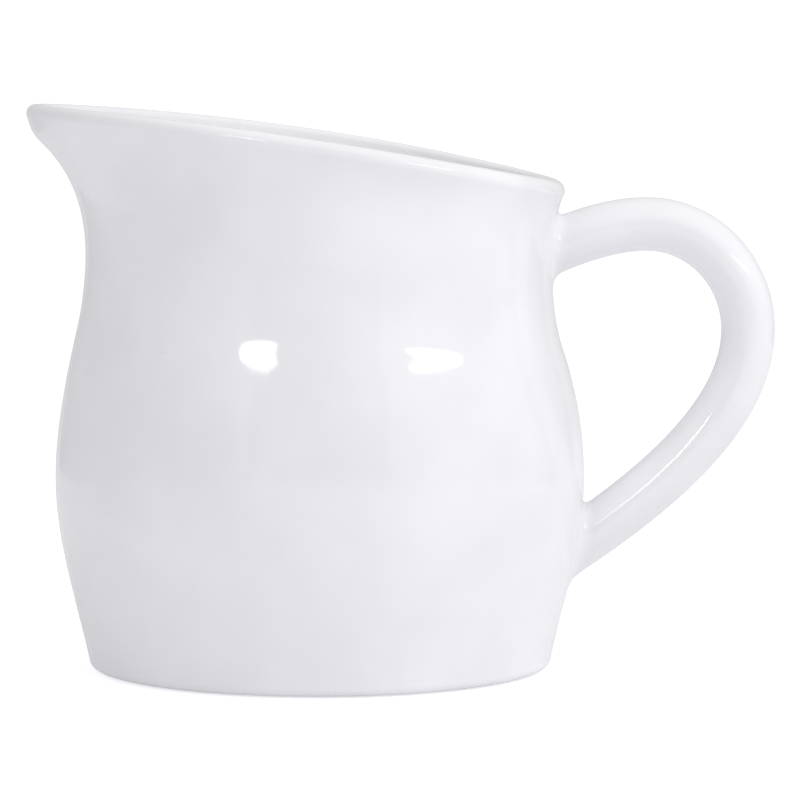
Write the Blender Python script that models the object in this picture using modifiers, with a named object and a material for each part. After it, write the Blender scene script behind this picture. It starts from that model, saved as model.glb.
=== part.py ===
"""White glazed stoneware pitcher: a thrown body with a pulled spout, a foot ring luted under it,
and a pulled handle held by a fillet of clay at each root.

The pieces are modelled about the turning axis of the body, in metres, with +Z up, the handle
towards +X and the spout towards -X. The empty "turning_axis" carries them and stands where the
middle of the whole footprint, from spout tip to handle, falls on the origin.
"""

import math

import bmesh
import bpy
from mathutils import Vector
from mathutils.geometry import interpolate_bezier

MM = 0.001

# Fit between pieces, and how finely round shapes are divided
GAP = 0.3 * MM
TURN_STEPS = 48
OVAL_STEPS = 16
CORNER_STEPS = 4
LIP_STEPS = 7
MERGE = 0.01 * MM

# Body: radii are those of the outer wall, leans are its run outwards for each unit of rise
CORNER_HEIGHT = 2.7 * MM
CORNER_RADIUS = 57.9 * MM
CORNER_LEAN = 0.225
BELLY_HEIGHT = 47.4 * MM
BELLY_RADIUS = 66.1 * MM
SHOULDER_BELOW_NECK = 20.5 * MM
SHOULDER_RADIUS = 60.7 * MM
SHOULDER_LEAN = -0.335
NECK_BELOW_RIM = 21.6 * MM
NECK_RADIUS = 58.0 * MM
RIM_HEIGHT = 122.1 * MM
RIM_RADIUS = 61.0 * MM
RIM_LEAN = 0.4
WALL = 4.8 * MM
FLOOR = 5.5 * MM
FLOOR_CORNER = 9.0 * MM
WALL_ROWS = 5

# Spout and slanted rim
SPOUT_RISE = 18.7 * MM
SPOUT_PULL = 11.8 * MM
SPOUT_DEPTH = 33.6 * MM
SPOUT_EDGE = 6.9 * MM
SPOUT_SHARPNESS = 7.5
SPOUT_CURL = 2.8
SLANT_DEPTH = 62.0 * MM
RIM_BOW = 2.55 * MM

# Foot ring, in a rebate under the body
FOOT_HEIGHT = 3.0 * MM
FOOT_INSET = 4.9 * MM
FOOT_WIDTH = 6.0 * MM
FOOT_EDGE = 0.6 * MM
FOOT_PROUD = 0.4 * MM

# Handle: an oval rod, its middle line held by its two roots, its crown and its outermost point;
# each rise is the angle in degrees at which the rod leaves the wall
ROD_THICKNESS = 13.4 * MM
ROD_WIDTH = 16.0 * MM
HANDLE_REACH = 113.6 * MM
UPPER_ROOT_BELOW_RIM = 17.4 * MM
UPPER_ROOT_RISE = 22.0
CROWN_BELOW_RIM = 11.2 * MM
CROWN_TO_REACH = 32.1 * MM
OUTERMOST_HEIGHT = 84.5 * MM
LOWER_ROOT_HEIGHT = 30.7 * MM
LOWER_ROOT_RISE = 32.0
LOWER_LIMB_PULL = 10.0 * MM
OUTER_CURVE_PULL = 26.0 * MM
ROOT_DEPTH = 20.0 * MM
PATH_STEPS = 10

# Clay fillets luted round the roots: each runs this far up the rod and this far over the wall
FILLET_OVER = 2.2 * MM
FILLET_UNDER = 3.6 * MM
FILLET_EDGE = 0.5 * MM
FILLET_BURIED = 6.0 * MM
FILLET_STEPS = 6

# Control length of a cubic curve that follows a quarter circle of radius 1
CIRCLE_HANDLE = 0.5523

# Finishes
GLAZE_WHITE = (0.83, 0.83, 0.86, 1.0)
GLAZE_ROUGHNESS = 0.12
BARE_CLAY = (0.72, 0.66, 0.58, 1.0)
CLAY_ROUGHNESS = 0.85
SHARP_EDGE = 40.0


# ---------------------------------------------------------------- shapes of the thrown body


def lip_radius():
    """The lip is the wall's rounded edge."""
    return WALL / 2


def lip_centre():
    """(radius, height) of the middle of the lip's round, before the rim is slanted."""
    return RIM_RADIUS - lip_radius(), RIM_HEIGHT - lip_radius()


def neck_height():
    """Height of the narrowest part of the neck."""
    return RIM_HEIGHT - NECK_BELOW_RIM


def wall_knots():
    """(height, radius, lean) of the outer wall where its curve is held, from the base up."""
    centre_radius, centre_height = lip_centre()
    lean_angle = math.atan(RIM_LEAN)
    under_lip = (
        centre_height - lip_radius() * math.sin(lean_angle),
        centre_radius + lip_radius() * math.cos(lean_angle),
        RIM_LEAN,
    )
    return (
        (CORNER_HEIGHT, CORNER_RADIUS, CORNER_LEAN),
        (BELLY_HEIGHT, BELLY_RADIUS, 0.0),
        (neck_height() - SHOULDER_BELOW_NECK, SHOULDER_RADIUS, SHOULDER_LEAN),
        (neck_height(), NECK_RADIUS, 0.0),
        under_lip,
    )


def wall_at(height):
    """(radius, lean) of the outer wall at a height, on a cubic curve between the knots."""
    knots = wall_knots()
    height = min(max(height, knots[0][0]), knots[-1][0])
    low, high = next(p for p in zip(knots, knots[1:]) if height <= p[1][0])
    span = high[0] - low[0]
    t = (height - low[0]) / span
    radius = (
        low[1] * (1 - t) ** 2 * (1 + 2 * t)
        + high[1] * t**2 * (3 - 2 * t)
        + span * low[2] * t * (1 - t) ** 2
        - span * high[2] * t**2 * (1 - t)
    )
    lean = (
        6 * t * (1 - t) * (high[1] - low[1]) / span
        + low[2] * (1 - t) * (1 - 3 * t)
        + high[2] * t * (3 * t - 2)
    )
    return radius, lean


def wall_heights():
    """Heights of the wall's rows, from the base corner to the lip, even between the knots."""
    knots = [knot[0] for knot in wall_knots()]
    rows = [
        low + (high - low) * step / WALL_ROWS
        for low, high in zip(knots, knots[1:])
        for step in range(WALL_ROWS)
    ]
    return rows + [knots[-1]]


def offset_wall(height, distance):
    """(radius, height) of the point that lies a distance off the outer wall, outwards if positive."""
    radius, lean = wall_at(height)
    slant = math.atan(lean)
    return radius + distance * math.cos(slant), height - distance * math.sin(slant)


def arc(centre, radius, start, end, steps):
    """(radius, height) points along an arc about a centre, from one angle in degrees to another."""
    angles = [math.radians(start + (end - start) * i / steps) for i in range(steps + 1)]
    return [
        (centre[0] + radius * math.cos(a), centre[1] + radius * math.sin(a))
        for a in angles
    ]


def outer_section(offset=0.0):
    """(radius, height) points over the lip's outer half, down the wall and round the base corner."""
    lean_angle = math.degrees(math.atan(RIM_LEAN))
    crest_to_wall = arc(
        lip_centre(), lip_radius() + offset, 90, -lean_angle, LIP_STEPS
    )
    wall = [offset_wall(height, offset) for height in reversed(wall_heights())]
    corner_drop = CORNER_HEIGHT - FOOT_PROUD
    corner = [
        (CORNER_RADIUS - corner_drop + (corner_drop + offset) * math.cos(a),
         CORNER_HEIGHT - (corner_drop + offset) * math.sin(a))
        for a in [math.pi / 2 * i / CORNER_STEPS for i in range(1, CORNER_STEPS + 1)]
    ]
    return crest_to_wall + wall[1:] + corner


def inner_section():
    """(radius, height) points from the middle of the floor up the inner wall to the lip's crest."""
    floor_height = FOOT_HEIGHT + GAP + FLOOR
    wall = [offset_wall(height, -WALL) for height in wall_heights()]
    wall = [point for point in wall if point[1] > floor_height + FLOOR_CORNER]
    corner_centre = (wall[0][0] - FLOOR_CORNER, floor_height + FLOOR_CORNER)
    corner = arc(corner_centre, FLOOR_CORNER, -90, 0, CORNER_STEPS)
    lean_angle = math.degrees(math.atan(RIM_LEAN))
    wall_to_crest = arc(lip_centre(), lip_radius(), 180 - lean_angle, 90, LIP_STEPS)
    return [(0.0, floor_height)] + corner + wall[:-1] + wall_to_crest[:-1]


def foot_radius():
    """The foot ring's outer radius, set in from the base corner."""
    return CORNER_RADIUS - FOOT_INSET


def underside_section():
    """(radius, height) points of the rebate that the foot ring sits in, out to in."""
    seat_height = FOOT_HEIGHT + GAP
    rebate_radius = foot_radius() + GAP
    return [(rebate_radius, FOOT_PROUD), (rebate_radius, seat_height), (0.0, seat_height)]


def smooth_step(t):
    """0 up to 0, 1 from 1, and an easy curve between."""
    t = min(max(t, 0.0), 1.0)
    return t * t * (3 - 2 * t)


def rim_height_at(x):
    """Height of the lip's crest at x, along a slant that bows upwards between handle and spout."""
    back = lip_centre()[0]
    front = back + SPOUT_PULL
    share = (back - x) / (back + front)
    bow = 4 * RIM_BOW * share * (1 - share)
    return RIM_HEIGHT + SPOUT_RISE * share + bow


def finished_place(x, y, z):
    """Where a point of the round, level thrown pot lies once spout and slanted rim are formed."""
    radius = math.hypot(x, y)
    if radius < MERGE:
        return x, y, z
    below_rim = RIM_HEIGHT - z
    pull_share = (SPOUT_DEPTH - below_rim) / (SPOUT_DEPTH - SPOUT_EDGE)
    pull_share = min(max(pull_share, 0.0), 1.0)
    towards_spout = ((1 - x / radius) / 2) ** SPOUT_SHARPNESS
    grown = 1 + SPOUT_PULL * pull_share**SPOUT_CURL * towards_spout / radius
    lift_share = smooth_step(1 - below_rim / SLANT_DEPTH)
    lift = lift_share * (rim_height_at(x * grown) - RIM_HEIGHT)
    return x * grown, y * grown, z + lift


# ---------------------------------------------------------------- handle's middle line


def handle_knots():
    """(point, arriving control, leaving control) in x and z for each knot of the handle's line."""
    upper_height = RIM_HEIGHT - UPPER_ROOT_BELOW_RIM
    crown_height = RIM_HEIGHT - CROWN_BELOW_RIM
    upper_wall, _ = wall_at(upper_height)
    lower_wall, _ = wall_at(LOWER_ROOT_HEIGHT)
    outermost = HANDLE_REACH - ROD_THICKNESS / 2
    crown = HANDLE_REACH - CROWN_TO_REACH
    crown_reach = CIRCLE_HANDLE * (outermost - crown)
    crown_drop = CIRCLE_HANDLE * (crown_height - OUTERMOST_HEIGHT)
    upper = math.radians(UPPER_ROOT_RISE)
    lower = math.radians(LOWER_ROOT_RISE)
    root_x = upper_wall - ROOT_DEPTH * math.cos(upper)
    root_z = upper_height - ROOT_DEPTH * math.sin(upper)
    end_x = lower_wall - ROOT_DEPTH * math.cos(lower)
    end_z = LOWER_ROOT_HEIGHT - ROOT_DEPTH * math.sin(lower)
    first_run = (crown - root_x) / 3
    last_run = ROOT_DEPTH + LOWER_LIMB_PULL
    return (
        (
            (root_x, root_z),
            (root_x, root_z),
            (root_x + first_run, root_z + first_run * math.tan(upper)),
        ),
        (
            (crown, crown_height),
            (crown - first_run, crown_height),
            (crown + crown_reach, crown_height),
        ),
        (
            (outermost, OUTERMOST_HEIGHT),
            (outermost, OUTERMOST_HEIGHT + crown_drop),
            (outermost, OUTERMOST_HEIGHT - OUTER_CURVE_PULL),
        ),
        (
            (end_x, end_z),
            (end_x + last_run * math.cos(lower), end_z + last_run * math.sin(lower)),
            (end_x, end_z),
        ),
    )


def handle_line():
    """Points along the handle's middle line, from inside the upper root to inside the lower."""
    line = []
    knots = handle_knots()
    for (start, _, leave), (end, arrive, _) in zip(knots, knots[1:]):
        stretch = interpolate_bezier(
            *[(x, 0.0, z) for x, z in (start, leave, arrive, end)], PATH_STEPS + 1
        )
        line += stretch if not line else stretch[1:]
    return line


def station(line, distance):
    """(point, direction) of a line at a distance from its start."""
    for a, b in zip(line, line[1:]):
        run = (b - a).length
        if distance <= run:
            break
        distance -= run
    return a.lerp(b, distance / run), (b - a).normalized()


def rod_surface(line, distance, angle, grown=0.0):
    """The point of the rod's skin, or one grown by a thickness, at an angle round it from below."""
    point, along = station(line, distance)
    below = Vector((along.z, 0.0, -along.x))
    if below.z > 0:
        below.negate()
    return (
        point
        + below * (ROD_THICKNESS / 2 + grown) * math.cos(angle)
        + Vector((0.0, 1.0, 0.0)) * (ROD_WIDTH / 2 + grown) * math.sin(angle)
    )


def wall_depth(point):
    """How far inside the outer wall a point lies, negative when it is outside."""
    return wall_at(point.z)[0] - math.hypot(point.x, point.y)


def root_distance(line, angle):
    """How far from its start the line has gone where the rod's skin comes out of the wall."""
    inside, outside = 0.0, 2 * ROOT_DEPTH
    while outside - inside > MERGE:
        middle = (inside + outside) / 2
        if wall_depth(rod_surface(line, middle, angle)) > 0:
            inside = middle
        else:
            outside = middle
    return inside


def fillet_section(line, angle):
    """Points of a fillet's face at an angle round the rod, from the rod's skin into the wall."""
    share = (1 + math.cos(angle)) / 2
    leg = FILLET_OVER + (FILLET_UNDER - FILLET_OVER) * share
    root = root_distance(line, angle)
    on_rod = rod_surface(line, root + leg, angle, GAP + FILLET_EDGE)
    corner = rod_surface(line, root, angle, GAP + FILLET_EDGE)
    outwards = corner - station(line, root)[0]
    on_wall = corner + outwards.normalized() * leg
    on_wall.x += wall_depth(on_wall) + GAP + FILLET_EDGE
    face = [
        on_rod.lerp(corner, i / FILLET_STEPS).lerp(
            corner.lerp(on_wall, i / FILLET_STEPS), i / FILLET_STEPS
        )
        for i in range(FILLET_STEPS + 1)
    ]
    buried = on_wall - Vector((FILLET_BURIED, 0.0, 0.0))
    return face + [buried]


# ---------------------------------------------------------------- making objects


def clear_scene():
    """Removes every object that the scene starts with."""
    for obj in list(bpy.data.objects):
        bpy.data.objects.remove(obj)


def new_collection(name):
    """A collection linked under the scene's own."""
    collection = bpy.data.collections.new(name)
    bpy.context.scene.collection.children.link(collection)
    return collection


def ceramic(name, colour, roughness):
    """A Principled material of a ceramic surface."""
    material = bpy.data.materials.new(name)
    material.use_nodes = True
    shader = material.node_tree.nodes["Principled BSDF"]
    shader.inputs["Base Color"].default_value = colour
    shader.inputs["Roughness"].default_value = roughness
    shader.inputs["Metallic"].default_value = 0.0
    material.diffuse_color = colour
    return material


def hide_as_tool(obj):
    """Marks an object as an aid to modelling: drawn as wires and left out of the model."""
    obj.hide_render = True
    obj.display_type = "WIRE"


def applied_mesh(obj):
    """A new mesh holding an object's evaluated shape, with touching points welded."""
    graph = bpy.context.evaluated_depsgraph_get()
    mesh = bpy.data.meshes.new_from_object(obj.evaluated_get(graph))
    work = bmesh.new()
    work.from_mesh(mesh)
    bmesh.ops.remove_doubles(work, verts=work.verts, dist=MERGE)
    work.to_mesh(mesh)
    work.free()
    return mesh


def replace_with_mesh(obj):
    """Swaps a curve or a modified object for a plain mesh object of the same name and place."""
    name = obj.name
    matrix = obj.matrix_world.copy()
    collection = obj.users_collection[0]
    mesh = applied_mesh(obj)
    bpy.data.objects.remove(obj)
    mesh.name = name
    solid = bpy.data.objects.new(name, mesh)
    collection.objects.link(solid)
    solid.matrix_world = matrix
    return solid


def turned(name, section, collection):
    """A solid of revolution from (radius, height) points that run up inside and down outside."""
    mesh = bpy.data.meshes.new(name)
    points = [(radius, 0.0, height) for radius, height in section]
    mesh.from_pydata(points, [(i, i + 1) for i in range(len(points) - 1)], [])
    obj = bpy.data.objects.new(name, mesh)
    collection.objects.link(obj)
    screw = obj.modifiers.new("turn", "SCREW")
    screw.steps = screw.render_steps = TURN_STEPS
    screw.use_merge_vertices = True
    screw.merge_threshold = MERGE
    return replace_with_mesh(obj)


def form_spout(obj):
    """Pulls the spout and slants the rim of a turned solid."""
    for vertex in obj.data.vertices:
        vertex.co = finished_place(*vertex.co)
    obj.data.update()


def oval_section(collection):
    """The rod's oval outline, as the bevel object of the handle's curves."""
    curve = bpy.data.curves.new("rod_outline", "CURVE")
    curve.dimensions = "2D"
    spline = curve.splines.new("POLY")
    spline.points.add(OVAL_STEPS - 1)
    for i, point in enumerate(spline.points):
        angle = -2 * math.pi * i / OVAL_STEPS
        point.co = (
            ROD_WIDTH / 2 * math.cos(angle),
            ROD_THICKNESS / 2 * math.sin(angle),
            0.0,
            1.0,
        )
    spline.use_cyclic_u = True
    outline = bpy.data.objects.new("rod_outline", curve)
    collection.objects.link(outline)
    hide_as_tool(outline)
    return outline


def rod_along(name, points, swell, outline, collection):
    """A closed rod of the oval outline along a line, swollen at each point by the share given."""
    curve = bpy.data.curves.new(name, "CURVE")
    curve.dimensions = "3D"
    curve.bevel_mode = "OBJECT"
    curve.bevel_object = outline
    curve.use_fill_caps = True
    spline = curve.splines.new("POLY")
    spline.points.add(len(points) - 1)
    for spline_point, point, share in zip(spline.points, points, swell):
        spline_point.co = (*point, 1.0)
        spline_point.radius = share
    obj = bpy.data.objects.new(name, curve)
    collection.objects.link(obj)
    return replace_with_mesh(obj)


def cut(obj, cutter):
    """Takes a cutter's volume away from an object, with a live Boolean."""
    boolean = obj.modifiers.new("less_" + cutter.name, "BOOLEAN")
    boolean.operation = "DIFFERENCE"
    boolean.object = cutter


def shade_round(obj):
    """Smooth shading with the hard edges kept sharp."""
    obj.data.shade_smooth()
    obj.data.set_sharp_from_angle(angle=math.radians(SHARP_EDGE))


# ---------------------------------------------------------------- the pieces


def make_body(pieces):
    """The thrown pot with its pulled spout."""
    body = turned("jug_body", inner_section() + outer_section() + underside_section(), pieces)
    form_spout(body)
    return body


def make_foot_ring(pieces):
    """The bare ring that the pitcher stands on, with softened edges."""
    outer = foot_radius()
    inner = outer - FOOT_WIDTH
    loop = [
        (inner, FOOT_EDGE),
        (inner, FOOT_HEIGHT),
        (outer, FOOT_HEIGHT),
        (outer, FOOT_EDGE),
        (outer - FOOT_EDGE, 0.0),
        (inner + FOOT_EDGE, 0.0),
        (inner, FOOT_EDGE),
    ]
    return turned("foot_ring", loop, pieces)


def make_body_cutter(tools):
    """The body's outside as one full solid, a gap larger all over, to trim what is luted to it."""
    section = [(0.0, RIM_HEIGHT + GAP)] + outer_section(GAP) + [(0.0, FOOT_PROUD - GAP)]
    cutter = turned("body_outside", section, tools)
    form_spout(cutter)
    hide_as_tool(cutter)
    return cutter


def make_handle(line, outline, body_cutter, pieces):
    """The pulled rod, trimmed to the body's wall at both roots."""
    handle = rod_along("handle", line, [1.0] * len(line), outline, pieces)
    cut(handle, body_cutter)
    return handle


def make_handle_cutter(line, outline, tools):
    """The rod, a gap larger all round, to open the fillets that close on it."""
    grown = 1 + GAP / (ROD_THICKNESS / 2)
    cutter = rod_along("handle_outside", line, [grown] * len(line), outline, tools)
    hide_as_tool(cutter)
    return cutter


def make_fillet(name, line, cutters, pieces):
    """Clay round one root, less the handle and the body that it closes against."""
    angles = [2 * math.pi * i / OVAL_STEPS for i in range(OVAL_STEPS)]
    sections = [fillet_section(line, angle) for angle in angles]
    work = bmesh.new()
    rows = [[work.verts.new(point) for point in section] for section in sections]
    middles = [
        work.verts.new(sum((section[end] for section in sections), Vector()) / OVAL_STEPS)
        for end in (0, -1)
    ]
    for row, following in zip(rows, rows[1:] + rows[:1]):
        for a, b, c, d in zip(row, row[1:], following[1:], following):
            work.faces.new((a, b, c, d))
        for middle, end in zip(middles, (0, -1)):
            work.faces.new((row[end], following[end], middle))
    bmesh.ops.recalc_face_normals(work, faces=work.faces)
    mesh = bpy.data.meshes.new(name)
    work.to_mesh(mesh)
    work.free()
    fillet = bpy.data.objects.new(name, mesh)
    pieces.objects.link(fillet)
    for cutter in cutters:
        cut(fillet, cutter)
    return fillet


def main():
    """Builds the pitcher's pieces and stands them on the middle of their footprint."""
    clear_scene()
    pieces = new_collection("pitcher")
    tools = new_collection("cutters")
    glaze = ceramic("white_glaze", GLAZE_WHITE, GLAZE_ROUGHNESS)
    clay = ceramic("bare_clay", BARE_CLAY, CLAY_ROUGHNESS)

    outline = oval_section(tools)
    body_cutter = make_body_cutter(tools)
    line = handle_line()
    body = make_body(pieces)
    foot_ring = make_foot_ring(pieces)
    handle = make_handle(line, outline, body_cutter, pieces)
    cutters = (body_cutter, make_handle_cutter(line, outline, tools))
    upper = make_fillet("upper_handle_joint", line, cutters, pieces)
    lower = make_fillet("lower_handle_joint", line[::-1], cutters, pieces)

    for piece in (body, handle, upper, lower):
        piece.data.materials.append(glaze)
    foot_ring.data.materials.append(clay)
    for piece in (body, foot_ring, handle, upper, lower):
        shade_round(piece)

    axis = bpy.data.objects.new("turning_axis", None)
    pieces.objects.link(axis)
    for obj in list(pieces.objects) + list(tools.objects):
        if obj is not axis:
            obj.parent = axis
    spout_reach = RIM_RADIUS + SPOUT_PULL
    axis.location.x = (spout_reach - HANDLE_REACH) / 2


main()
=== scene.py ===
"""Looks of the white glazed pitcher: every piece at full fineness, its finishes, and the studio.

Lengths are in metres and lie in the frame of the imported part: +Z up, the handle towards +X and
the spout towards -X. Each piece takes the place of one node of that part.
"""

import logging
import math
from collections.abc import Callable, Iterator
from contextlib import contextmanager
from dataclasses import dataclass, field
from enum import Enum

import bpy
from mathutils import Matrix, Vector
from mathutils.geometry import interpolate_bezier

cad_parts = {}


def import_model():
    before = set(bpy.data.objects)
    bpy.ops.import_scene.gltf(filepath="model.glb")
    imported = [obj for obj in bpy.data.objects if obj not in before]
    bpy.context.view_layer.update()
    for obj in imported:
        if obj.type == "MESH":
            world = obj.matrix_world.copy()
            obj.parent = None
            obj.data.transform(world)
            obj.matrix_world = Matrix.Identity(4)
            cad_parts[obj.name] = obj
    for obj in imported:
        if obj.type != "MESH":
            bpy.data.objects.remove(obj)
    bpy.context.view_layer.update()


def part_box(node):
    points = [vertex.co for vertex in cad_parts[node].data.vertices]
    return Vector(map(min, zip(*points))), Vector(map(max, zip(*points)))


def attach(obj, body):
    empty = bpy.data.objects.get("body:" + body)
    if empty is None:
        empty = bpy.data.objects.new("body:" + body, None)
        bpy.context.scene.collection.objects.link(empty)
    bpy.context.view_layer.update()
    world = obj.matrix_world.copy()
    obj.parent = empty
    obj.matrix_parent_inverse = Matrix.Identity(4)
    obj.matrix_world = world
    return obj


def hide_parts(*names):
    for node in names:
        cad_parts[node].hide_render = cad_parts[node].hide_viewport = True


LOG = logging.getLogger("pitcher")

MM = 0.001
MERGE = 0.01 * MM
SMOOTH_ANGLE = 40.0
# Control length of a cubic curve that follows a quarter circle of radius 1
CIRCLE_HANDLE = 0.5523
# Where a smooth noise is cut off below and above, so that its patches have plateaus
PATCH_SPAN = (0.35, 0.65)
# Which output of a Mix node is its colour
MIX_COLOUR = 2
MATT_ROUGHNESS = 0.9

Section = list[tuple[float, float]]


class Root(Enum):
    """The two places where the handle meets the body."""

    UPPER = "upper_handle_joint"
    LOWER = "lower_handle_joint"


# ------------------------------------------------------------------ small tools


def smooth_step(t: float) -> float:
    """Returns 0 up to 0, 1 from 1, and an easy curve between."""
    t = min(max(t, 0.0), 1.0)
    return t * t * (3 - 2 * t)


def arc(centre: tuple[float, float], radius: float, start: float, end: float, steps: int) -> Section:
    """Points along an arc.

    Args:
        centre: its middle, as radius from the turning axis and height.
        radius: the arc's own radius.
        start: first angle in degrees, 0 pointing away from the axis.
        end: last angle in degrees.
        steps: how many chords it is divided into.

    Returns:
        (radius, height) points, both ends included.
    """
    angles = [math.radians(start + (end - start) * i / steps) for i in range(steps + 1)]
    return [(centre[0] + radius * math.cos(a), centre[1] + radius * math.sin(a)) for a in angles]


def deselect_all() -> None:
    """Leaves object mode with nothing selected."""
    if bpy.context.mode != "OBJECT":
        bpy.ops.object.mode_set(mode="OBJECT")
    bpy.ops.object.select_all(action="DESELECT")


@contextmanager
def editing(obj: bpy.types.Object) -> Iterator[None]:
    """Edit mode on one object, back in object mode afterwards.

    Args:
        obj: the mesh object to edit.

    Yields:
        Nothing. Edit mode lasts as long as the with block.
    """
    deselect_all()
    obj.select_set(True)
    bpy.context.view_layer.objects.active = obj
    bpy.ops.object.mode_set(mode="EDIT")
    try:
        yield
    finally:
        bpy.ops.object.mode_set(mode="OBJECT")


def turned(name: str, section: Section, steps: int) -> bpy.types.Object:
    """Turns a section about the Z axis, as on a wheel.

    Args:
        name: the new object's name.
        section: (radius, height) points in order.
        steps: divisions of the full turn.

    Returns:
        The closed mesh object, with its normals outwards.
    """
    deselect_all()
    bpy.ops.mesh.primitive_plane_add(size=MM)
    obj = bpy.context.active_object
    obj.name = obj.data.name = name
    with editing(obj):
        bpy.ops.mesh.select_mode(type="VERT")
        bpy.ops.mesh.select_all(action="SELECT")
        bpy.ops.mesh.merge(type="CENTER")
        bpy.ops.transform.translate(value=(section[0][0], 0.0, section[0][1]))
        for (radius, height), (next_radius, next_height) in zip(section, section[1:]):
            step = (next_radius - radius, 0.0, next_height - height)
            bpy.ops.mesh.extrude_region_move(TRANSFORM_OT_translate={"value": step})
        bpy.ops.mesh.select_all(action="SELECT")
        bpy.ops.mesh.spin(steps=steps, angle=2 * math.pi, center=(0, 0, 0), axis=(0, 0, 1))
        bpy.ops.mesh.select_all(action="SELECT")
        bpy.ops.mesh.remove_doubles(threshold=MERGE)
        bpy.ops.mesh.normals_make_consistent(inside=False)
    return obj


def reshape(obj: bpy.types.Object, place: Callable[[Vector], Vector]) -> None:
    """Moves every vertex, for a shape that no operator gives.

    Args:
        obj: the mesh object.
        place: gives a vertex's new place from its old one.
    """
    for vertex in obj.data.vertices:
        vertex.co = place(vertex.co)
    obj.data.update()


def shade_round(obj: bpy.types.Object) -> None:
    """Smooths an object's shading, with its hard edges kept.

    Args:
        obj: the mesh object.
    """
    deselect_all()
    obj.select_set(True)
    bpy.context.view_layer.objects.active = obj
    bpy.ops.object.shade_smooth_by_angle(angle=math.radians(SMOOTH_ANGLE))


# ------------------------------------------------------------------ finishes


def linear_colour(code: str) -> tuple[float, float, float, float]:
    """Turns an sRGB colour to scene-linear.

    Args:
        code: the colour in hex, such as #F0F0F4.

    Returns:
        Red, green, blue and a full alpha.
    """
    shares = [int(code[i : i + 2], 16) / 255 for i in (1, 3, 5)]
    linear = [s / 12.92 if s <= 0.04045 else ((s + 0.055) / 1.055) ** 2.4 for s in shares]
    return (linear[0], linear[1], linear[2], 1.0)


def add_node(
    tree: bpy.types.NodeTree, kind: str, inputs: dict[str, object], **settings: object
) -> bpy.types.Node:
    """Adds a node to a tree.

    Args:
        tree: the node tree.
        kind: the node's type.
        inputs: by socket name, an output socket to link or a value to set.
        settings: the node's own properties.

    Returns:
        The new node.
    """
    node = tree.nodes.new(kind)
    for key, value in settings.items():
        setattr(node, key, value)
    for key, value in inputs.items():
        socket = next(s for s in node.inputs if s.name == key and s.enabled)
        if isinstance(value, bpy.types.NodeSocket):
            tree.links.new(value, socket)
        else:
            socket.default_value = value
    return node


def new_finish(
    name: str, roughness: float
) -> tuple[bpy.types.Material, bpy.types.NodeTree, bpy.types.NodeSocket]:
    """Starts a material whose patterns are sized in millimetres on the piece itself.

    Args:
        name: the material's name.
        roughness: how rough it is all over.

    Returns:
        The material, its node tree, and its object coordinates in millimetres.
    """
    material = bpy.data.materials.new(name)
    material.use_nodes = True
    tree = material.node_tree
    tree.nodes["Principled BSDF"].inputs["Roughness"].default_value = roughness
    coordinates = add_node(tree, "ShaderNodeTexCoord", {})
    scaled = add_node(tree, "ShaderNodeMapping", {
        "Vector": coordinates.outputs["Object"], "Scale": (1 / MM, 1 / MM, 1 / MM)})
    return material, tree, scaled.outputs["Vector"]


@dataclass(frozen=True)
class WhiteGlaze:
    """Cool white tin glaze, dipped and fired: glassy, so lights show in it as sharp spots.

    It pooled and ran a little, which leaves faint patches of tone and slow waves, and gas left it
    a few pinholes. The peel is a glaze's fine unevenness, which softens the edges of the spots.
    """

    slot: str = "white_glaze"
    thick: str = "#F3F2F5"
    thin: str = "#EEEDF0"
    pinhole: str = "#8A8680"
    roughness: float = 0.07
    ior: float = 1.52
    pool_mm: float = 26.0
    pool_detail: float = 2.0
    wave_mm: float = 17.0
    wave_height_mm: float = 0.015
    peel_mm: float = 1.7
    peel_height_mm: float = 0.0025
    relief_detail: float = 1.0
    pinhole_mm: float = 0.32
    pinhole_spacing_mm: float = 13.0
    pinhole_core: float = 0.6

    def material(self) -> bpy.types.Material:
        """Makes the glaze.

        Returns:
            The glaze as a material.
        """
        material, tree, where = new_finish(self.slot, self.roughness)
        shader = tree.nodes["Principled BSDF"]
        shader.inputs["IOR"].default_value = self.ior
        pools = add_node(tree, "ShaderNodeTexNoise", {
            "Vector": where, "Scale": 1 / self.pool_mm, "Detail": self.pool_detail})
        pooled = add_node(tree, "ShaderNodeMapRange", {
            "Value": pools.outputs["Fac"], "From Min": PATCH_SPAN[0], "From Max": PATCH_SPAN[1]})
        coat = add_node(tree, "ShaderNodeMix", {
            "Factor": pooled.outputs["Result"],
            "A": linear_colour(self.thin),
            "B": linear_colour(self.thick),
        }, data_type="RGBA")
        cells = add_node(tree, "ShaderNodeTexVoronoi", {
            "Vector": where, "Scale": 1 / self.pinhole_spacing_mm})
        edge = self.pinhole_mm / 2 / self.pinhole_spacing_mm
        clear = add_node(tree, "ShaderNodeMapRange", {
            "Value": cells.outputs["Distance"],
            "From Min": edge * self.pinhole_core,
            "From Max": edge,
        })
        pitted = add_node(tree, "ShaderNodeMix", {
            "Factor": clear.outputs["Result"],
            "A": linear_colour(self.pinhole),
            "B": coat.outputs[MIX_COLOUR],
        }, data_type="RGBA")
        tree.links.new(pitted.outputs[MIX_COLOUR], shader.inputs["Base Color"])
        relief: dict[str, object] = {}
        for size_mm, height_mm in (
            (self.wave_mm, self.wave_height_mm), (self.peel_mm, self.peel_height_mm)
        ):
            swell = add_node(tree, "ShaderNodeTexNoise", {
                "Vector": where, "Scale": 1 / size_mm, "Detail": self.relief_detail})
            bump = add_node(tree, "ShaderNodeBump", {
                "Height": swell.outputs["Fac"], "Strength": 1.0, "Distance": height_mm * MM, **relief})
            relief = {"Normal": bump.outputs["Normal"]}
        tree.links.new(relief["Normal"], shader.inputs["Normal"])
        return material


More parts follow.
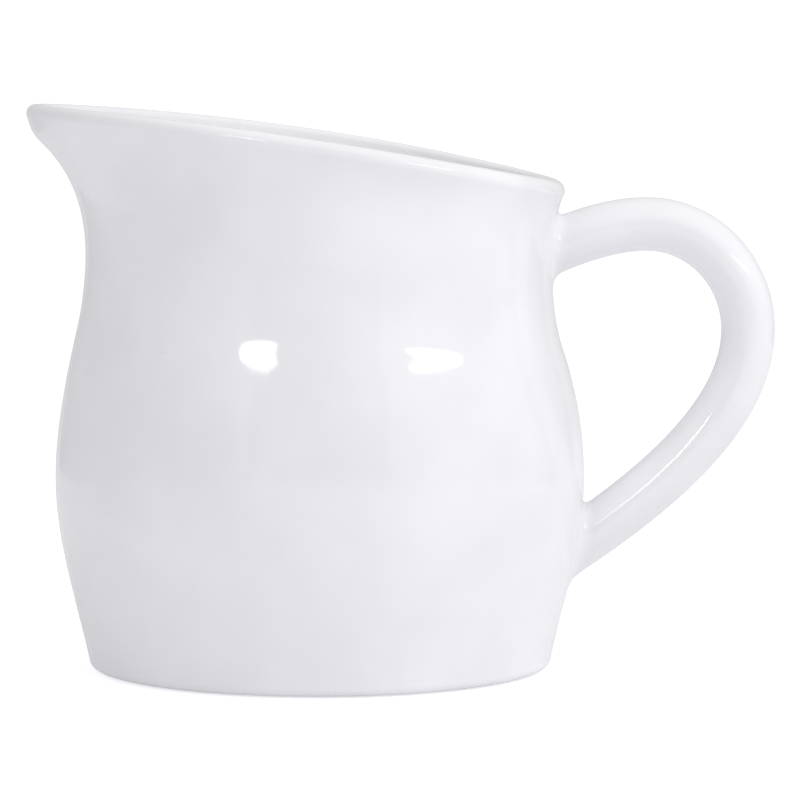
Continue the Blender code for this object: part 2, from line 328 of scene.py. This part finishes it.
@dataclass(frozen=True)
class BareClay:
    """Fired stoneware left unglazed where it stands: matt, warm and speckled with grog.

    Real grog is finer than 0.9 mm. It is drawn as coarse as it needs to be to show.
    """

    slot: str = "bare_clay"
    clay: str = "#CDBFAC"
    dark_clay: str = "#B5A48F"
    grog: str = "#7F6C59"
    roughness: float = 0.85
    patch_mm: float = 9.0
    grog_mm: float = 0.9
    detail: float = 3.0
    grog_span: tuple[float, float] = (0.64, 0.7)
    grain_height_mm: float = 0.06

    def material(self) -> bpy.types.Material:
        """Makes the clay.

        Returns:
            The clay as a material.
        """
        material, tree, where = new_finish(self.slot, self.roughness)
        shader = tree.nodes["Principled BSDF"]
        patches = add_node(tree, "ShaderNodeTexNoise", {
            "Vector": where, "Scale": 1 / self.patch_mm, "Detail": self.detail})
        pale = add_node(tree, "ShaderNodeMapRange", {
            "Value": patches.outputs["Fac"], "From Min": PATCH_SPAN[0], "From Max": PATCH_SPAN[1]})
        body = add_node(tree, "ShaderNodeMix", {
            "Factor": pale.outputs["Result"],
            "A": linear_colour(self.dark_clay),
            "B": linear_colour(self.clay),
        }, data_type="RGBA")
        grain = add_node(tree, "ShaderNodeTexNoise", {
            "Vector": where, "Scale": 1 / self.grog_mm, "Detail": self.detail})
        specks = add_node(tree, "ShaderNodeMapRange", {
            "Value": grain.outputs["Fac"],
            "From Min": self.grog_span[0],
            "From Max": self.grog_span[1],
        })
        speckled = add_node(tree, "ShaderNodeMix", {
            "Factor": specks.outputs["Result"],
            "A": body.outputs[MIX_COLOUR],
            "B": linear_colour(self.grog),
        }, data_type="RGBA")
        bump = add_node(tree, "ShaderNodeBump", {
            "Height": grain.outputs["Fac"], "Strength": 1.0, "Distance": self.grain_height_mm * MM})
        tree.links.new(speckled.outputs[MIX_COLOUR], shader.inputs["Base Color"])
        tree.links.new(bump.outputs["Normal"], shader.inputs["Normal"])
        return material


# ------------------------------------------------------------------ the thrown wall


@dataclass(frozen=True)
class ThrownWall:
    """The wall's shape about the turning axis, shared by the body and by what is luted to it."""

    corner_height: float = 2.7 * MM
    corner_radius: float = 57.9 * MM
    corner_lean: float = 0.225
    belly_height: float = 47.4 * MM
    belly_radius: float = 66.1 * MM
    shoulder_below_neck: float = 20.5 * MM
    shoulder_radius: float = 60.7 * MM
    shoulder_lean: float = -0.335
    neck_below_rim: float = 21.6 * MM
    neck_radius: float = 58.0 * MM
    rim_height: float = 122.1 * MM
    rim_radius: float = 61.0 * MM
    rim_lean: float = 0.4
    wall: float = 4.8 * MM
    spout_rise: float = 18.7 * MM
    spout_pull: float = 11.8 * MM
    spout_depth: float = 33.6 * MM
    spout_edge: float = 6.9 * MM
    spout_sharpness: float = 7.5
    spout_curl: float = 2.8
    spout_ease_from: float = 0.94
    slant_depth: float = 62.0 * MM
    rim_bow: float = 2.55 * MM
    ring_pitch: float = 9.5 * MM
    ring_depth: float = 0.015 * MM
    ring_fade: float = 14.0 * MM
    ring_top_below_neck: float = 4.0 * MM

    @property
    def lip_radius(self) -> float:
        """The lip is the wall's rounded edge."""
        return self.wall / 2

    @property
    def lip_centre(self) -> tuple[float, float]:
        """(radius, height) of the middle of the lip's round, before the rim is slanted."""
        return self.rim_radius - self.lip_radius, self.rim_height - self.lip_radius

    @property
    def neck_height(self) -> float:
        """Height of the narrowest part of the neck."""
        return self.rim_height - self.neck_below_rim

    def knots(self) -> list[tuple[float, float, float]]:
        """Works out where the outer wall's curve is held.

        Returns:
            (height, radius, lean) from the base corner up to the lip.
        """
        angle = math.atan(self.rim_lean)
        centre_radius, centre_height = self.lip_centre
        return [
            (self.corner_height, self.corner_radius, self.corner_lean),
            (self.belly_height, self.belly_radius, 0.0),
            (self.neck_height - self.shoulder_below_neck, self.shoulder_radius, self.shoulder_lean),
            (self.neck_height, self.neck_radius, 0.0),
            (
                centre_height - self.lip_radius * math.sin(angle),
                centre_radius + self.lip_radius * math.cos(angle),
                self.rim_lean,
            ),
        ]

    def at(self, height: float) -> tuple[float, float]:
        """Reads the outer wall's curve, a cubic between each two knots.

        Args:
            height: where to read it, held between the lowest knot and the highest.

        Returns:
            (radius, lean) of the wall there.
        """
        knots = self.knots()
        height = min(max(height, knots[0][0]), knots[-1][0])
        low, high = next(p for p in zip(knots, knots[1:]) if height <= p[1][0])
        span = high[0] - low[0]
        t = (height - low[0]) / span
        radius = (
            low[1] * (1 - t) ** 2 * (1 + 2 * t)
            + high[1] * t**2 * (3 - 2 * t)
            + span * low[2] * t * (1 - t) ** 2
            - span * high[2] * t**2 * (1 - t)
        )
        lean = (
            6 * t * (1 - t) * (high[1] - low[1]) / span
            + low[2] * (1 - t) * (1 - 3 * t)
            + high[2] * t * (3 * t - 2)
        )
        return radius, lean

    def offset(self, height: float, distance: float) -> tuple[float, float]:
        """Finds the point square off the outer wall.

        Args:
            height: where on the wall it starts.
            distance: how far off it lies, outwards if positive.

        Returns:
            Its (radius, height).
        """
        radius, lean = self.at(height)
        slant = math.atan(lean)
        return radius + distance * math.cos(slant), height - distance * math.sin(slant)

    def heights(self, step: float) -> list[float]:
        """Divides the outer wall's height evenly.

        Args:
            step: about how far apart the heights are.

        Returns:
            Heights from the base corner to the lip, both included.
        """
        low, high = self.knots()[0][0], self.knots()[-1][0]
        count = round((high - low) / step)
        return [low + (high - low) * i / count for i in range(count + 1)]

    def ring(self, x: float, y: float, z: float) -> float:
        """Works out the throwing rings, a spiral that fades out at the base and the neck.

        Args:
            x: place across the pot, from the turning axis.
            y: place along the pot's depth.
            z: height.

        Returns:
            How far the potter's fingers left the wall proud there, negative in a hollow.
        """
        top = self.neck_height - self.ring_top_below_neck
        fade = smooth_step((z - self.corner_height) / self.ring_fade)
        fade *= smooth_step((top - z) / self.ring_fade)
        turns = z / self.ring_pitch + math.atan2(y, x) / (2 * math.pi)
        return self.ring_depth * fade * math.cos(2 * math.pi * turns)

    def rim_height_at(self, x: float) -> float:
        """Follows the lip's bowed slant from handle to spout.

        Args:
            x: place across the pot, from the turning axis.

        Returns:
            The lip's height there.
        """
        back = self.lip_centre[0]
        share = (back - x) / (2 * back + self.spout_pull)
        return self.rim_height + self.spout_rise * share + 4 * self.rim_bow * share * (1 - share)

    def pull_at(self, share: float) -> float:
        """Returns the spout's pull, from 0 to 1, at a share of the way up to its lip.

        Args:
            share: 0 where the pull starts and 1 where it is whole.

        Returns:
            A curled rise that eases off to 1 with no corner.
        """
        start = self.spout_ease_from
        if share <= start:
            return max(share, 0.0) ** self.spout_curl
        reached = start**self.spout_curl
        slope = self.spout_curl * start ** (self.spout_curl - 1)
        run = 2 * (1 - reached) / slope
        past = min(share - start, run)
        return reached + slope * past * (1 - past / (2 * run))

    def finished(self, point: Vector) -> Vector:
        """Forms spout, slanted rim and rings.

        Args:
            point: a point of the round, level pot, about the turning axis.

        Returns:
            Where it lies on the finished pot.
        """
        radius = math.hypot(point.x, point.y)
        if radius < MERGE:
            return point.copy()
        below_rim = self.rim_height - point.z
        pull = self.pull_at((self.spout_depth - below_rim) / (self.spout_depth - self.spout_edge))
        towards = ((1 - point.x / radius) / 2) ** self.spout_sharpness
        grown = 1 + self.spout_pull * pull * towards / radius
        lift = smooth_step(1 - below_rim / self.slant_depth)
        lift *= self.rim_height_at(point.x * grown) - self.rim_height
        grown += self.ring(*point) / radius
        return Vector((point.x * grown, point.y * grown, point.z + lift))


# ------------------------------------------------------------------ pieces


@dataclass
class FootRing:
    """The bare ring that the pitcher stands on, softened at its edges."""

    wall: ThrownWall
    axis_x: float
    node: str = "foot_ring"
    height: float = 3.0 * MM
    inset: float = 4.9 * MM
    width: float = 6.0 * MM
    edge: float = 0.6 * MM
    sunk: float = 0.5 * MM
    turn_steps: int = 128
    edge_steps: int = 4

    def build(self) -> bpy.types.Object:
        """Turns the ring, its top sunk into the body's seat.

        Returns:
            The ring's closed mesh object.
        """
        outer = self.wall.corner_radius - self.inset
        inner = outer - self.width
        top = self.height + self.sunk
        tread = arc((outer - self.edge, self.edge), self.edge, 0, -90, self.edge_steps)
        heel = arc((inner + self.edge, self.edge), self.edge, -90, -180, self.edge_steps)
        loop = [(inner, top), (outer, top)] + tread + heel + [(inner, top)]
        obj = turned("ring_of_foot", loop, self.turn_steps)
        shift = Vector((self.axis_x, 0.0, 0.0))
        reshape(obj, lambda point: point + shift)
        shade_round(obj)
        return obj

    def dress(self, obj: bpy.types.Object, clay: bpy.types.Material, finish: BareClay) -> None:
        """Gives the ring its bare clay and puts it in its node's place."""
        place(obj, clay, finish.slot, self.node)


@dataclass
class JugBody:
    """The thrown pot with its pulled spout, inside and out."""

    wall: ThrownWall
    foot: FootRing
    axis_x: float
    node: str = "jug_body"
    floor: float = 5.5 * MM
    floor_corner: float = 9.0 * MM
    foot_proud: float = 0.4 * MM
    seat_gap: float = 0.3 * MM
    outer_step: float = 0.9 * MM
    inner_step: float = 2.0 * MM
    lip_steps: int = 12
    corner_steps: int = 8
    turn_steps: int = 256

    @property
    def seat_height(self) -> float:
        """The seat is the underside that the foot ring is luted into."""
        return self.foot.height + self.seat_gap

    def inner_section(self) -> Section:
        """Draws the inside.

        Returns:
            The section from the middle of the floor up to the lip's crest.
        """
        wall = self.wall
        level = self.seat_height + self.floor
        rise = [wall.offset(h, -wall.wall) for h in wall.heights(self.inner_step)]
        rise = [point for point in rise if point[1] > level + self.floor_corner]
        corner_centre = (rise[0][0] - self.floor_corner, level + self.floor_corner)
        corner = arc(corner_centre, self.floor_corner, -90, 0, self.corner_steps)
        lean = math.degrees(math.atan(wall.rim_lean))
        crest = arc(wall.lip_centre, wall.lip_radius, 180 - lean, 90, self.lip_steps)
        return [(0.0, level)] + corner + rise[1:-1] + crest[:-1]

    def outer_section(self) -> Section:
        """Draws the outside.

        Returns:
            The section from the lip's crest down and round the base corner.
        """
        wall = self.wall
        lean = math.degrees(math.atan(wall.rim_lean))
        crest = arc(wall.lip_centre, wall.lip_radius, 90, -lean, self.lip_steps)
        drop = [wall.offset(h, 0.0) for h in reversed(wall.heights(self.outer_step))]
        fall = wall.corner_height - self.foot_proud
        centre = (wall.corner_radius - fall, wall.corner_height)
        return crest + drop[1:] + arc(centre, fall, 0, -90, self.corner_steps)[1:]

    def underside_section(self) -> Section:
        """Draws the underside.

        Returns:
            The section from the base corner up into the foot ring's seat and to its middle.
        """
        edge = self.wall.corner_radius - self.foot.inset
        return [(edge, self.foot_proud), (edge, self.seat_height), (0.0, self.seat_height)]

    def build(self) -> bpy.types.Object:
        """Throws the pot on the wheel, then forms its spout, rim and rings.

        Returns:
            The body's closed mesh object.
        """
        section = self.inner_section() + self.outer_section() + self.underside_section()
        obj = turned("body_of_jug", section, self.turn_steps)
        shift = Vector((self.axis_x, 0.0, 0.0))
        reshape(obj, lambda point: self.wall.finished(point) + shift)
        shade_round(obj)
        return obj

    def dress(self, obj: bpy.types.Object, glaze: bpy.types.Material, finish: WhiteGlaze) -> None:
        """Glazes the body and puts it in its node's place."""
        place(obj, glaze, finish.slot, self.node)


@dataclass
class Handle:
    """The pulled rod: an oval section along a line held by its roots, crown and outermost point."""

    wall: ThrownWall
    axis_x: float
    node: str = "handle"
    thickness: float = 13.4 * MM
    width: float = 16.0 * MM
    reach: float = 113.6 * MM
    upper_below_rim: float = 17.4 * MM
    upper_rise: float = 22.0
    crown_below_rim: float = 11.2 * MM
    crown_to_reach: float = 32.1 * MM
    outermost_height: float = 84.5 * MM
    lower_height: float = 30.7 * MM
    lower_rise: float = 32.0
    lower_pull: float = 10.0 * MM
    outer_pull: float = 26.0 * MM
    root_depth: float = 20.0 * MM
    cut_depth: float = 2.6 * MM
    path_steps: int = 44
    round_steps: int = 56
    line: list[Vector] = field(init=False)

    def __post_init__(self) -> None:
        """Works out the middle line."""
        self.line = self.middle_line()

    def root_height(self, root: Root) -> float:
        """Finds where a root's line meets the wall.

        Args:
            root: which root.

        Returns:
            The height.
        """
        if root is Root.UPPER:
            return self.wall.rim_height - self.upper_below_rim
        return self.lower_height

    def line_end(self, root: Root, rise: float) -> Vector:
        """Finds an end of the rod's line, inside the body.

        Args:
            root: which root.
            rise: the angle at which the line climbs out of the wall, in radians.

        Returns:
            The end, about the turning axis.
        """
        height = self.root_height(root)
        reach = self.wall.at(height)[0] - self.root_depth * math.cos(rise)
        return Vector((reach, 0.0, height - self.root_depth * math.sin(rise)))

    def middle_line(self) -> list[Vector]:
        """Draws the line that the rod follows.

        Returns:
            Points from inside the upper root to inside the lower, about the turning axis.
        """
        crown_z = self.wall.rim_height - self.crown_below_rim
        outermost = self.reach - self.thickness / 2
        crown = self.reach - self.crown_to_reach
        upper, lower = math.radians(self.upper_rise), math.radians(self.lower_rise)
        root, end = self.line_end(Root.UPPER, upper), self.line_end(Root.LOWER, lower)
        run = (crown - root.x) / 3
        last_run = self.root_depth + self.lower_pull
        across = CIRCLE_HANDLE * (outermost - crown)
        down = CIRCLE_HANDLE * (crown_z - self.outermost_height)
        top = Vector((crown, 0.0, crown_z))
        side = Vector((outermost, 0.0, self.outermost_height))
        stretches = (
            (root, root + Vector((run, 0.0, run * math.tan(upper))), top - Vector((run, 0, 0)), top),
            (top, top + Vector((across, 0, 0)), side + Vector((0, 0, down)), side),
            (side, side - Vector((0, 0, self.outer_pull)),
             end + Vector((last_run * math.cos(lower), 0.0, last_run * math.sin(lower))), end),
        )
        line: list[Vector] = []
        for stretch in stretches:
            points = interpolate_bezier(*stretch, self.path_steps + 1)
            line += points if not line else points[1:]
        return line

    def build(self) -> bpy.types.Object:
        """Pulls an oval along the rod's line and cuts each root off inside the wall.

        Returns:
            The rod's closed mesh object.
        """
        deselect_all()
        bpy.ops.curve.primitive_bezier_circle_add(radius=1.0)
        outline = bpy.context.active_object
        outline.data.resolution_u = self.round_steps // 4
        outline.scale = (self.width / 2, self.thickness / 2, 1.0)
        bpy.ops.object.transform_apply(location=False, rotation=False, scale=True)
        deselect_all()
        bpy.ops.curve.primitive_nurbs_path_add()
        rod = bpy.context.active_object
        rod.name = "rod_of_handle"
        # The path's own points give way to the rod's line, which no operator draws
        rod.data.splines.clear()
        spline = rod.data.splines.new("POLY")
        spline.points.add(len(self.line) - 1)
        for spline_point, point in zip(spline.points, self.line):
            spline_point.co = (point.x + self.axis_x, point.y, point.z, 1.0)
        rod.data.bevel_mode = "OBJECT"
        rod.data.bevel_object = outline
        rod.data.use_fill_caps = True
        bpy.ops.object.convert(target="MESH")
        rod = bpy.context.active_object
        bpy.data.objects.remove(outline)
        with editing(rod):
            bpy.ops.mesh.select_all(action="SELECT")
            bpy.ops.mesh.remove_doubles(threshold=MERGE)
        for root in Root:
            self.cut_root(rod, root)
        with editing(rod):
            bpy.ops.mesh.select_all(action="SELECT")
            bpy.ops.mesh.normals_make_consistent(inside=False)
        shade_round(rod)
        return rod

    def cut_root(self, rod: bpy.types.Object, root: Root) -> None:
        """Cuts one root off along the wall's slant, within the wall's thickness.

        Args:
            rod: the handle's mesh object.
            root: which root.
        """
        height = self.root_height(root)
        radius, lean = self.wall.at(height)
        slant = math.atan(lean)
        upper = root is Root.UPPER
        for vertex in rod.data.vertices:
            vertex.select = (vertex.co.z > self.outermost_height) == upper
        for edge in rod.data.edges:
            edge.select = all(rod.data.vertices[i].select for i in edge.vertices)
        for face in rod.data.polygons:
            face.select = all(rod.data.vertices[i].select for i in face.vertices)
        with editing(rod):
            bpy.ops.mesh.bisect(
                plane_co=(self.axis_x + radius - self.cut_depth, 0.0, height),
                plane_no=(math.cos(slant), 0.0, -math.sin(slant)),
                clear_inner=True,
                use_fill=True,
            )

    def station(self, distance: float, root: Root) -> tuple[Vector, Vector]:
        """Walks along the rod's line.

        Args:
            distance: how far to walk.
            root: which end to start from.

        Returns:
            (point, direction) of the line there, about the turning axis.
        """
        line = self.line if root is Root.UPPER else self.line[::-1]
        for a, b in zip(line, line[1:]):
            run = (b - a).length
            if distance <= run:
                break
            distance -= run
        return a.lerp(b, distance / run), (b - a).normalized()

    def skin(self, distance: float, angle: float, root: Root, grown: float = 0.0) -> Vector:
        """Finds a point of the rod's skin.

        Args:
            distance: how far along the line it lies.
            angle: how far round the rod from below, in radians.
            root: which end the distance is measured from.
            grown: how far off the skin it lies, outwards if positive.

        Returns:
            The point, about the turning axis.
        """
        point, along = self.station(distance, root)
        below = Vector((along.z, 0.0, -along.x))
        if below.z > 0:
            below.negate()
        side = Vector((0.0, 1.0, 0.0))
        return (
            point
            + below * (self.thickness / 2 + grown) * math.cos(angle)
            + side * (self.width / 2 + grown) * math.sin(angle)
        )

    def dress(self, obj: bpy.types.Object, glaze: bpy.types.Material, finish: WhiteGlaze) -> None:
        """Glazes the rod and puts it in its node's place."""
        place(obj, glaze, finish.slot, self.node)


@dataclass
class HandleJoint:
    """Clay smoothed round one root, from the rod's skin into the wall."""

    handle: Handle
    root: Root
    over: float = 2.2 * MM
    under: float = 3.6 * MM
    beside: float = 2.4 * MM
    proud: float = 0.012 * MM
    skirt: float = 0.2 * MM
    sunk: float = 0.6 * MM
    round_steps: int = 128
    face_steps: int = 24
    settle_steps: int = 6

    def depth(self, point: Vector) -> float:
        """Measures how far inside the finished wall a point lies, slant and rings included.

        Args:
            point: the point, about the turning axis.

        Returns:
            The depth, negative outside.
        """
        wall = self.handle.wall
        level = point.copy()
        for _ in range(self.settle_steps):
            level += point - wall.finished(level)
        return wall.at(level.z)[0] - math.hypot(level.x, level.y)

    def root_distance(self, angle: float) -> float:
        """Finds where the rod's skin comes out of the wall.

        Args:
            angle: how far round the rod from below, in radians.

        Returns:
            How far along the line that is.
        """
        inside, outside = 0.0, 2 * self.handle.root_depth
        while outside - inside > MERGE:
            middle = (inside + outside) / 2
            if self.depth(self.handle.skin(middle, angle, self.root)) > 0:
                inside = middle
            else:
                outside = middle
        return inside

    def on_wall(self, point: Vector, sunk: float) -> Vector:
        """Moves a point along X onto the wall.

        Args:
            point: the point, about the turning axis.
            sunk: how far under the wall it ends up.

        Returns:
            The moved point.
        """
        for _ in range(self.settle_steps):
            point = point + Vector((self.depth(point) - sunk, 0.0, 0.0))
        return point

    def section(self, angle: float) -> list[Vector]:
        """Draws the joint's hollow face, tangent to rod and wall, with a sunk skirt at each end.

        Args:
            angle: how far round the rod from below, in radians.

        Returns:
            Its points from inside the rod to inside the wall.
        """
        handle, root = self.handle, self.root
        leg = self.over + (self.under - self.over) * (1 + math.cos(angle)) / 2
        leg += self.beside * math.sin(angle) ** 2
        start = self.root_distance(angle)
        corner = handle.skin(start, angle, root)
        outwards = (corner - handle.station(start, root)[0]).normalized()
        face = []
        for i in range(self.face_steps + 1):
            share = i / self.face_steps
            up_rod, over_wall = leg * (1 - share) ** 2, leg * share**2
            spread = self.on_wall(corner + outwards * over_wall, -self.proud) - corner
            face.append(handle.skin(start + up_rod, angle, root, self.proud) + spread)
        first = handle.skin(start + leg + self.skirt, angle, root, -self.sunk)
        last = self.on_wall(corner + outwards * (leg + self.skirt), self.sunk)
        return [first] + face + [last]

    def build(self) -> bpy.types.Object:
        """Wraps a flat grid round the rod, since the face follows both neighbours' shapes.

        Returns:
            The joint's closed mesh object.
        """
        sections = [
            self.section(2 * math.pi * i / self.round_steps) for i in range(self.round_steps)
        ]
        sections.append(sections[0])
        rows = len(sections[0])
        deselect_all()
        bpy.ops.mesh.primitive_grid_add(
            x_subdivisions=rows - 1, y_subdivisions=self.round_steps, size=1.0
        )
        obj = bpy.context.active_object
        obj.name = obj.data.name = self.root.value + "_clay"
        shift = Vector((self.handle.axis_x, 0.0, 0.0))

        def wrapped(flat: Vector) -> Vector:
            """Wraps a point of the grid round the rod.

            Args:
                flat: the point on the flat grid, whose sides run from -0.5 to 0.5.

            Returns:
                Its place on the joint.
            """
            along = round((flat.x + 0.5) * (rows - 1))
            around = round((flat.y + 0.5) * self.round_steps)
            return sections[around][along] + shift

        reshape(obj, wrapped)
        with editing(obj):
            bpy.ops.mesh.select_all(action="SELECT")
            bpy.ops.mesh.remove_doubles(threshold=MERGE)
            bpy.ops.mesh.select_mode(type="EDGE")
            bpy.ops.mesh.select_all(action="DESELECT")
            bpy.ops.mesh.select_non_manifold()
            bpy.ops.mesh.edge_face_add()
            bpy.ops.mesh.select_all(action="SELECT")
            bpy.ops.mesh.normals_make_consistent(inside=False)
        shade_round(obj)
        return obj

    def dress(self, obj: bpy.types.Object, glaze: bpy.types.Material, finish: WhiteGlaze) -> None:
        """Glazes the joint and puts it in its node's place."""
        place(obj, glaze, finish.slot, self.root.value)


def place(obj: bpy.types.Object, material: bpy.types.Material, slot: str, node: str) -> None:
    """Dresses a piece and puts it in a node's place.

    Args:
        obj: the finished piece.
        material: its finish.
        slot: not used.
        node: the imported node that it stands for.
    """
    obj.data.materials.clear()
    obj.data.materials.append(material)
    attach(obj, "root")
    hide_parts(node)
    LOG.info("%s: %d faces for %s", obj.name, len(obj.data.polygons), node)


# ------------------------------------------------------------------ studio


@dataclass(frozen=True)
class Softbox:
    """A soft light aimed at the pitcher, placed by its direction from it."""

    name: str
    azimuth: float
    elevation: float
    width: float
    height: float
    watts: float
    distance: float = 1.5
    mirrored: bool = True

    def build(self, target: Vector) -> None:
        """Puts the light in the scene.

        Args:
            target: what it is aimed at.
        """
        azimuth, elevation = math.radians(self.azimuth), math.radians(self.elevation)
        towards = Vector((
            math.sin(azimuth) * math.cos(elevation),
            -math.cos(azimuth) * math.cos(elevation),
            math.sin(elevation),
        ))
        data = bpy.data.lights.new(self.name, "AREA")
        data.shape = "ELLIPSE"
        data.size = self.width
        data.size_y = self.height
        data.energy = self.watts
        lamp = bpy.data.objects.new(self.name, data)
        lamp.visible_glossy = self.mirrored
        lamp.location = target + towards * self.distance
        lamp.rotation_euler = (-towards).to_track_quat("-Z", "Y").to_euler()
        bpy.context.scene.collection.objects.link(lamp)


def plain(name: str, code: str) -> bpy.types.Material:
    """Makes a matt material of one colour.

    Args:
        name: its name.
        code: its sRGB colour in hex.

    Returns:
        The material.
    """
    material = bpy.data.materials.new(name)
    material.use_nodes = True
    shader = material.node_tree.nodes["Principled BSDF"]
    shader.inputs["Base Color"].default_value = linear_colour(code)
    shader.inputs["Roughness"].default_value = MATT_ROUGHNESS
    return material


@dataclass(frozen=True)
class Card:
    """A dim upright card that only the glaze sees, as a mirror image."""

    name: str
    centre: tuple[float, float, float]
    width: float
    height: float
    turn: float
    colour: str

    def build(self) -> None:
        """Puts the card in the scene."""
        deselect_all()
        bpy.ops.mesh.primitive_plane_add(
            size=1.0,
            location=self.centre,
            rotation=(math.radians(90), 0.0, math.radians(self.turn)),
        )
        card = bpy.context.active_object
        card.name = self.name
        card.scale = (self.width, self.height, 1.0)
        card.data.materials.append(plain(self.name, self.colour))
        card.visible_shadow = False
        card.visible_diffuse = False
        card.visible_camera = False


@dataclass
class Studio:
    """A white floor, soft lights and the camera."""

    target: tuple[float, float, float] = (-0.0004, 0.0, 0.0669)
    camera_place: tuple[float, float, float] = (-0.0004, -1.09, 0.155)
    lens_mm: float = 196.8
    sensor_mm: float = 36.0
    floor_side: float = 8.0
    floor_colour: str = "#DCDCDE"
    floor_glow: float = 0.8
    floor_bounce: float = 0.27
    surroundings: str = "#E2E2E3"
    backdrop: float = 1.1
    surroundings_strength: float = 0.82
    cards: tuple[Card, ...] = (
        Card("card_behind_camera", (0.0, -1.45, 0.55), 1.7, 0.9, 0.0, "#6A6A6E"),
        Card("flag_left", (-0.5, 0.3, 0.25), 0.6, 0.5, 60.0, "#D0D0D4"),
        Card("flag_right", (0.6, 0.4, 0.25), 0.5, 0.5, -60.0, "#C6C6CA"),
    )
    lights: tuple[Softbox, ...] = (
        Softbox("softbox_left", -28.0, 23.4, 0.45, 0.15, 1.3),
        Softbox("softbox_right", 59.0, 24.0, 0.75, 0.12, 1.6),
        Softbox("key_right", 62.0, 50.0, 1.1, 1.1, 8.2, mirrored=False),
        Softbox("overhead", 180.0, 80.0, 1.6, 1.6, 1.0, mirrored=False),
    )

    def build(self) -> None:
        """Sets up the whole studio."""
        self.build_world()
        self.build_floor()
        for card in self.cards:
            card.build()
        for light in self.lights:
            light.build(Vector(self.target))
        self.build_camera()
        bpy.context.scene.view_settings.view_transform = "Standard"

    def build_world(self) -> None:
        """White behind the pitcher, and dimmer surroundings that light it."""
        world = bpy.data.worlds.new("studio")
        bpy.context.scene.world = world
        world.use_nodes = True
        tree = world.node_tree
        path = add_node(tree, "ShaderNodeLightPath", {})
        around = add_node(tree, "ShaderNodeBackground", {
            "Color": linear_colour(self.surroundings), "Strength": self.surroundings_strength})
        behind = add_node(tree, "ShaderNodeBackground", {
            "Color": (1.0, 1.0, 1.0, 1.0), "Strength": self.backdrop})
        mixed = add_node(tree, "ShaderNodeMixShader", {})
        tree.links.new(path.outputs["Is Camera Ray"], mixed.inputs[0])
        tree.links.new(around.outputs[0], mixed.inputs[1])
        tree.links.new(behind.outputs[0], mixed.inputs[2])
        tree.links.new(mixed.outputs[0], tree.nodes["World Output"].inputs["Surface"])

    def build_floor(self) -> None:
        """A plain pale floor."""
        deselect_all()
        bpy.ops.mesh.primitive_plane_add(size=self.floor_side)
        floor = bpy.context.active_object
        floor.name = "studio_floor"
        white = plain("floor_white", self.floor_colour)
        tree = white.node_tree
        shader = tree.nodes["Principled BSDF"]
        shader.inputs["Emission Color"].default_value = linear_colour(self.floor_colour)
        path = add_node(tree, "ShaderNodeLightPath", {})
        glow = add_node(tree, "ShaderNodeMapRange", {
            "Value": path.outputs["Is Camera Ray"],
            "To Min": self.floor_bounce,
            "To Max": self.floor_glow,
        })
        tree.links.new(glow.outputs["Result"], shader.inputs["Emission Strength"])
        floor.data.materials.append(white)

    def build_camera(self) -> None:
        """The camera, aimed at the middle of the pitcher."""
        data = bpy.data.cameras.new("camera")
        data.lens = self.lens_mm
        data.sensor_width = self.sensor_mm
        camera = bpy.data.objects.new("camera", data)
        camera.location = self.camera_place
        aim = Vector(self.target) - Vector(self.camera_place)
        camera.rotation_euler = aim.to_track_quat("-Z", "Y").to_euler()
        bpy.context.scene.collection.objects.link(camera)
        bpy.context.scene.camera = camera


def main() -> None:
    """Builds the pieces in order, then the studio."""
    logging.basicConfig(level=logging.INFO, format="%(name)s: %(message)s")
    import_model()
    foot_low, foot_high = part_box("foot_ring")
    axis_x = (foot_low[0] + foot_high[0]) / 2

    glaze_finish, clay_finish = WhiteGlaze(), BareClay()
    glaze, clay = glaze_finish.material(), clay_finish.material()
    wall = ThrownWall()
    foot = FootRing(wall, axis_x)
    body = JugBody(wall, foot, axis_x)
    body.dress(body.build(), glaze, glaze_finish)
    foot.dress(foot.build(), clay, clay_finish)
    handle = Handle(wall, axis_x)
    handle.dress(handle.build(), glaze, glaze_finish)
    joints = (
        HandleJoint(handle, Root.UPPER),
        HandleJoint(handle, Root.LOWER, over=3.0 * MM),
    )
    for joint in joints:
        joint.dress(joint.build(), glaze, glaze_finish)

    Studio().build()


if __name__ == "__main__":
    main()
